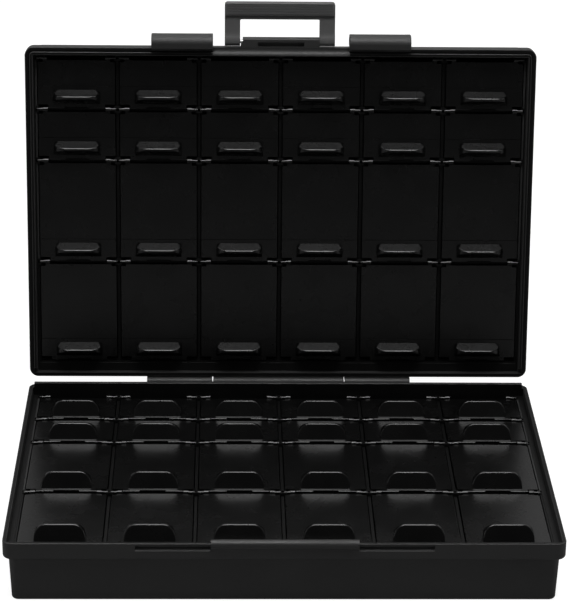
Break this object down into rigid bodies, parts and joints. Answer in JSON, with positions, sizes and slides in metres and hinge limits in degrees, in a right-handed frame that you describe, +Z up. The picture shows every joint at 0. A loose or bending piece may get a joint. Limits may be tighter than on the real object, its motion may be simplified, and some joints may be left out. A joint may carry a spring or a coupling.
{
  "type": "compartment storage box",
  "caption": "Black two-sided case that opens on a rear hinge; both halves are trays of small cells, each under its own lid with a finger tab. Two latches and a folding handle.",
  "frame": {"origin": "centre of the lower tray's flat underside", "axes": "+X to the right and along the hinge, -Y to the front, +Z up"},
  "size_m": [0.232, 0.2095, 0.2027],
  "materials": {
    "black_body": "fine matte",
    "black_lid": "semi-gloss",
    "pin_steel": "plain wire"
  },
  "bodies": {
    "base": {"base_tray": "black_body", "hinge_pin": "pin_steel"},
    "upper": {"upper_tray": "black_body", "handle_pin": "pin_steel", "latch_pin_left": "pin_steel", "latch_pin_right": "pin_steel"},
    "handle": {"handle": "black_body"},
    "latch_left": {"latch_left": "black_body"},
    "latch_right": {"latch_right": "black_body"},
    "base_lid_row1_column1": {"base_lid_row1_column1": "black_lid"},
    "base_lid_row1_column2": {"base_lid_row1_column2": "black_lid"},
    "base_lid_row1_column3": {"base_lid_row1_column3": "black_lid"},
    "base_lid_row1_column4": {"base_lid_row1_column4": "black_lid"},
    "base_lid_row1_column5": {"base_lid_row1_column5": "black_lid"},
    "base_lid_row1_column6": {"base_lid_row1_column6": "black_lid"},
    "base_lid_row2_column1": {"base_lid_row2_column1": "black_lid"},
    "base_lid_row2_column2": {"base_lid_row2_column2": "black_lid"},
    "base_lid_row2_column3": {"base_lid_row2_column3": "black_lid"},
    "base_lid_row2_column4": {"base_lid_row2_column4": "black_lid"},
    "base_lid_row2_column5": {"base_lid_row2_column5": "black_lid"},
    "base_lid_row2_column6": {"base_lid_row2_column6": "black_lid"},
    "base_lid_row3_column1": {"base_lid_row3_column1": "black_lid"},
    "base_lid_row3_column2": {"base_lid_row3_column2": "black_lid"},
    "base_lid_row3_column3": {"base_lid_row3_column3": "black_lid"},
    "base_lid_row3_column4": {"base_lid_row3_column4": "black_lid"},
    "base_lid_row3_column5": {"base_lid_row3_column5": "black_lid"},
    "base_lid_row3_column6": {"base_lid_row3_column6": "black_lid"},
    "base_lid_row4_column1": {"base_lid_row4_column1": "black_lid"},
    "base_lid_row4_column2": {"base_lid_row4_column2": "black_lid"},
    "base_lid_row4_column3": {"base_lid_row4_column3": "black_lid"},
    "base_lid_row4_column4": {"base_lid_row4_column4": "black_lid"},
    "base_lid_row4_column5": {"base_lid_row4_column5": "black_lid"},
    "base_lid_row4_column6": {"base_lid_row4_column6": "black_lid"},
    "upper_lid_row1_column1": {"upper_lid_row1_column1": "black_lid"},
    "upper_lid_row1_column2": {"upper_lid_row1_column2": "black_lid"},
    "upper_lid_row1_column3": {"upper_lid_row1_column3": "black_lid"},
    "upper_lid_row1_column4": {"upper_lid_row1_column4": "black_lid"},
    "upper_lid_row1_column5": {"upper_lid_row1_column5": "black_lid"},
    "upper_lid_row1_column6": {"upper_lid_row1_column6": "black_lid"},
    "upper_lid_row2_column1": {"upper_lid_row2_column1": "black_lid"},
    "upper_lid_row2_column2": {"upper_lid_row2_column2": "black_lid"},
    "upper_lid_row2_column3": {"upper_lid_row2_column3": "black_lid"},
    "upper_lid_row2_column4": {"upper_lid_row2_column4": "black_lid"},
    "upper_lid_row2_column5": {"upper_lid_row2_column5": "black_lid"},
    "upper_lid_row2_column6": {"upper_lid_row2_column6": "black_lid"},
    "upper_lid_row3_column1": {"upper_lid_row3_column1": "black_lid"},
    "upper_lid_row3_column2": {"upper_lid_row3_column2": "black_lid"},
    "upper_lid_row3_column3": {"upper_lid_row3_column3": "black_lid"},
    "upper_lid_row3_column4": {"upper_lid_row3_column4": "black_lid"},
    "upper_lid_row3_column5": {"upper_lid_row3_column5": "black_lid"},
    "upper_lid_row3_column6": {"upper_lid_row3_column6": "black_lid"},
    "upper_lid_row4_column1": {"upper_lid_row4_column1": "black_lid"},
    "upper_lid_row4_column2": {"upper_lid_row4_column2": "black_lid"},
    "upper_lid_row4_column3": {"upper_lid_row4_column3": "black_lid"},
    "upper_lid_row4_column4": {"upper_lid_row4_column4": "black_lid"},
    "upper_lid_row4_column5": {"upper_lid_row4_column5": "black_lid"},
    "upper_lid_row4_column6": {"upper_lid_row4_column6": "black_lid"}
  },
  "joints": [
    {"name": "main_hinge", "type": "hinge", "parent": "base", "child": "upper", "pos_m": [0, 0.0797, 0.0281], "axis": [-1, 0, 0], "range_deg": [-98.8, 0]},
    {"name": "handle_fold", "type": "hinge", "parent": "upper", "child": "handle", "pos_m": [0, 0.10873, 0.18491], "axis": [1, 0, 0], "range_deg": [0, 90]},
    {"name": "latch_left_turn", "type": "hinge", "parent": "upper", "child": "latch_left", "pos_m": [-0.0448, 0.10906, 0.18506], "axis": [-1, 0, 0], "range_deg": [0, 100]},
    {"name": "latch_right_turn", "type": "hinge", "parent": "upper", "child": "latch_right", "pos_m": [0.0448, 0.10906, 0.18506], "axis": [-1, 0, 0], "range_deg": [0, 100]},
    {"name": "base_lid_row1_column1_lift", "type": "hinge", "parent": "base", "child": "base_lid_row1_column1", "pos_m": [-0.093, 0.0719, 0.0235], "axis": [-1, 0, 0], "range_deg": [0, 85]},
    {"name": "base_lid_row1_column2_lift", "type": "hinge", "parent": "base", "child": "base_lid_row1_column2", "pos_m": [-0.0558, 0.0719, 0.0235], "axis": [-1, 0, 0], "range_deg": [0, 85]},
    {"name": "base_lid_row1_column3_lift", "type": "hinge", "parent": "base", "child": "base_lid_row1_column3", "pos_m": [-0.0186, 0.0719, 0.0235], "axis": [-1, 0, 0], "range_deg": [0, 85]},
    {"name": "base_lid_row1_column4_lift", "type": "hinge", "parent": "base", "child": "base_lid_row1_column4", "pos_m": [0.0186, 0.0719, 0.0235], "axis": [-1, 0, 0], "range_deg": [0, 85]},
    {"name": "base_lid_row1_column5_lift", "type": "hinge", "parent": "base", "child": "base_lid_row1_column5", "pos_m": [0.0558, 0.0719, 0.0235], "axis": [-1, 0, 0], "range_deg": [0, 85]},
    {"name": "base_lid_row1_column6_lift", "type": "hinge", "parent": "base", "child": "base_lid_row1_column6", "pos_m": [0.093, 0.0719, 0.0235], "axis": [-1, 0, 0], "range_deg": [0, 85]},
    {"name": "base_lid_row2_column1_lift", "type": "hinge", "parent": "base", "child": "base_lid_row2_column1", "pos_m": [-0.093, 0.0481, 0.0235], "axis": [-1, 0, 0], "range_deg": [0, 105]},
    {"name": "base_lid_row2_column2_lift", "type": "hinge", "parent": "base", "child": "base_lid_row2_column2", "pos_m": [-0.0558, 0.0481, 0.0235], "axis": [-1, 0, 0], "range_deg": [0, 105]},
    {"name": "base_lid_row2_column3_lift", "type": "hinge", "parent": "base", "child": "base_lid_row2_column3", "pos_m": [-0.0186, 0.0481, 0.0235], "axis": [-1, 0, 0], "range_deg": [0, 105]},
    {"name": "base_lid_row2_column4_lift", "type": "hinge", "parent": "base", "child": "base_lid_row2_column4", "pos_m": [0.0186, 0.0481, 0.0235], "axis": [-1, 0, 0], "range_deg": [0, 105]},
    {"name": "base_lid_row2_column5_lift", "type": "hinge", "parent": "base", "child": "base_lid_row2_column5", "pos_m": [0.0558, 0.0481, 0.0235], "axis": [-1, 0, 0], "range_deg": [0, 105]},
    {"name": "base_lid_row2_column6_lift", "type": "hinge", "parent": "base", "child": "base_lid_row2_column6", "pos_m": [0.093, 0.0481, 0.0235], "axis": [-1, 0, 0], "range_deg": [0, 105]},
    {"name": "base_lid_row3_column1_lift", "type": "hinge", "parent": "base", "child": "base_lid_row3_column1", "pos_m": [-0.093, 0.0243, 0.0235], "axis": [-1, 0, 0], "range_deg": [0, 105]},
    {"name": "base_lid_row3_column2_lift", "type": "hinge", "parent": "base", "child": "base_lid_row3_column2", "pos_m": [-0.0558, 0.0243, 0.0235], "axis": [-1, 0, 0], "range_deg": [0, 105]},
    {"name": "base_lid_row3_column3_lift", "type": "hinge", "parent": "base", "child": "base_lid_row3_column3", "pos_m": [-0.0186, 0.0243, 0.0235], "axis": [-1, 0, 0], "range_deg": [0, 105]},
    {"name": "base_lid_row3_column4_lift", "type": "hinge", "parent": "base", "child": "base_lid_row3_column4", "pos_m": [0.0186, 0.0243, 0.0235], "axis": [-1, 0, 0], "range_deg": [0, 105]},
    {"name": "base_lid_row3_column5_lift", "type": "hinge", "parent": "base", "child": "base_lid_row3_column5", "pos_m": [0.0558, 0.0243, 0.0235], "axis": [-1, 0, 0], "range_deg": [0, 105]},
    {"name": "base_lid_row3_column6_lift", "type": "hinge", "parent": "base", "child": "base_lid_row3_column6", "pos_m": [0.093, 0.0243, 0.0235], "axis": [-1, 0, 0], "range_deg": [0, 105]},
    {"name": "base_lid_row4_column1_lift", "type": "hinge", "parent": "base", "child": "base_lid_row4_column1", "pos_m": [-0.093, -0.0233, 0.0235], "axis": [-1, 0, 0], "range_deg": [0, 105]},
    {"name": "base_lid_row4_column2_lift", "type": "hinge", "parent": "base", "child": "base_lid_row4_column2", "pos_m": [-0.0558, -0.0233, 0.0235], "axis": [-1, 0, 0], "range_deg": [0, 105]},
    {"name": "base_lid_row4_column3_lift", "type": "hinge", "parent": "base", "child": "base_lid_row4_column3", "pos_m": [-0.0186, -0.0233, 0.0235], "axis": [-1, 0, 0], "range_deg": [0, 105]},
    {"name": "base_lid_row4_column4_lift", "type": "hinge", "parent": "base", "child": "base_lid_row4_column4", "pos_m": [0.0186, -0.0233, 0.0235], "axis": [-1, 0, 0], "range_deg": [0, 105]},
    {"name": "base_lid_row4_column5_lift", "type": "hinge", "parent": "base", "child": "base_lid_row4_column5", "pos_m": [0.0558, -0.0233, 0.0235], "axis": [-1, 0, 0], "range_deg": [0, 105]},
    {"name": "base_lid_row4_column6_lift", "type": "hinge", "parent": "base", "child": "base_lid_row4_column6", "pos_m": [0.093, -0.0233, 0.0235], "axis": [-1, 0, 0], "range_deg": [0, 105]},
    {"name": "upper_lid_row1_column1_lift", "type": "hinge", "parent": "upper", "child": "upper_lid_row1_column1", "pos_m": [-0.093, 0.10744, 0.17721], "axis": [-1, 0, 0], "range_deg": [0, 85]},
    {"name": "upper_lid_row1_column2_lift", "type": "hinge", "parent": "upper", "child": "upper_lid_row1_column2", "pos_m": [-0.0558, 0.10744, 0.17721], "axis": [-1, 0, 0], "range_deg": [0, 85]},
    {"name": "upper_lid_row1_column3_lift", "type": "hinge", "parent": "upper", "child": "upper_lid_row1_column3", "pos_m": [-0.0186, 0.10744, 0.17721], "axis": [-1, 0, 0], "range_deg": [0, 85]},
    {"name": "upper_lid_row1_column4_lift", "type": "hinge", "parent": "upper", "child": "upper_lid_row1_column4", "pos_m": [0.0186, 0.10744, 0.17721], "axis": [-1, 0, 0], "range_deg": [0, 85]},
    {"name": "upper_lid_row1_column5_lift", "type": "hinge", "parent": "upper", "child": "upper_lid_row1_column5", "pos_m": [0.0558, 0.10744, 0.17721], "axis": [-1, 0, 0], "range_deg": [0, 85]},
    {"name": "upper_lid_row1_column6_lift", "type": "hinge", "parent": "upper", "child": "upper_lid_row1_column6", "pos_m": [0.093, 0.10744, 0.17721], "axis": [-1, 0, 0], "range_deg": [0, 85]},
    {"name": "upper_lid_row2_column1_lift", "type": "hinge", "parent": "upper", "child": "upper_lid_row2_column1", "pos_m": [-0.093, 0.1038, 0.15369], "axis": [-1, 0, 0], "range_deg": [0, 105]},
    {"name": "upper_lid_row2_column2_lift", "type": "hinge", "parent": "upper", "child": "upper_lid_row2_column2", "pos_m": [-0.0558, 0.1038, 0.15369], "axis": [-1, 0, 0], "range_deg": [0, 105]},
    {"name": "upper_lid_row2_column3_lift", "type": "hinge", "parent": "upper", "child": "upper_lid_row2_column3", "pos_m": [-0.0186, 0.1038, 0.15369], "axis": [-1, 0, 0], "range_deg": [0, 105]},
    {"name": "upper_lid_row2_column4_lift", "type": "hinge", "parent": "upper", "child": "upper_lid_row2_column4", "pos_m": [0.0186, 0.1038, 0.15369], "axis": [-1, 0, 0], "range_deg": [0, 105]},
    {"name": "upper_lid_row2_column5_lift", "type": "hinge", "parent": "upper", "child": "upper_lid_row2_column5", "pos_m": [0.0558, 0.1038, 0.15369], "axis": [-1, 0, 0], "range_deg": [0, 105]},
    {"name": "upper_lid_row2_column6_lift", "type": "hinge", "parent": "upper", "child": "upper_lid_row2_column6", "pos_m": [0.093, 0.1038, 0.15369], "axis": [-1, 0, 0], "range_deg": [0, 105]},
    {"name": "upper_lid_row3_column1_lift", "type": "hinge", "parent": "upper", "child": "upper_lid_row3_column1", "pos_m": [-0.093, 0.10016, 0.13017], "axis": [-1, 0, 0], "range_deg": [0, 105]},
    {"name": "upper_lid_row3_column2_lift", "type": "hinge", "parent": "upper", "child": "upper_lid_row3_column2", "pos_m": [-0.0558, 0.10016, 0.13017], "axis": [-1, 0, 0], "range_deg": [0, 105]},
    {"name": "upper_lid_row3_column3_lift", "type": "hinge", "parent": "upper", "child": "upper_lid_row3_column3", "pos_m": [-0.0186, 0.10016, 0.13017], "axis": [-1, 0, 0], "range_deg": [0, 105]},
    {"name": "upper_lid_row3_column4_lift", "type": "hinge", "parent": "upper", "child": "upper_lid_row3_column4", "pos_m": [0.0186, 0.10016, 0.13017], "axis": [-1, 0, 0], "range_deg": [0, 105]},
    {"name": "upper_lid_row3_column5_lift", "type": "hinge", "parent": "upper", "child": "upper_lid_row3_column5", "pos_m": [0.0558, 0.10016, 0.13017], "axis": [-1, 0, 0], "range_deg": [0, 105]},
    {"name": "upper_lid_row3_column6_lift", "type": "hinge", "parent": "upper", "child": "upper_lid_row3_column6", "pos_m": [0.093, 0.10016, 0.13017], "axis": [-1, 0, 0], "range_deg": [0, 105]},
    {"name": "upper_lid_row4_column1_lift", "type": "hinge", "parent": "upper", "child": "upper_lid_row4_column1", "pos_m": [-0.093, 0.09287, 0.08313], "axis": [-1, 0, 0], "range_deg": [0, 105]},
    {"name": "upper_lid_row4_column2_lift", "type": "hinge", "parent": "upper", "child": "upper_lid_row4_column2", "pos_m": [-0.0558, 0.09287, 0.08313], "axis": [-1, 0, 0], "range_deg": [0, 105]},
    {"name": "upper_lid_row4_column3_lift", "type": "hinge", "parent": "upper", "child": "upper_lid_row4_column3", "pos_m": [-0.0186, 0.09287, 0.08313], "axis": [-1, 0, 0], "range_deg": [0, 105]},
    {"name": "upper_lid_row4_column4_lift", "type": "hinge", "parent": "upper", "child": "upper_lid_row4_column4", "pos_m": [0.0186, 0.09287, 0.08313], "axis": [-1, 0, 0], "range_deg": [0, 105]},
    {"name": "upper_lid_row4_column5_lift", "type": "hinge", "parent": "upper", "child": "upper_lid_row4_column5", "pos_m": [0.0558, 0.09287, 0.08313], "axis": [-1, 0, 0], "range_deg": [0, 105]},
    {"name": "upper_lid_row4_column6_lift", "type": "hinge", "parent": "upper", "child": "upper_lid_row4_column6", "pos_m": [0.093, 0.09287, 0.08313], "axis": [-1, 0, 0], "range_deg": [0, 105]}
  ]
}
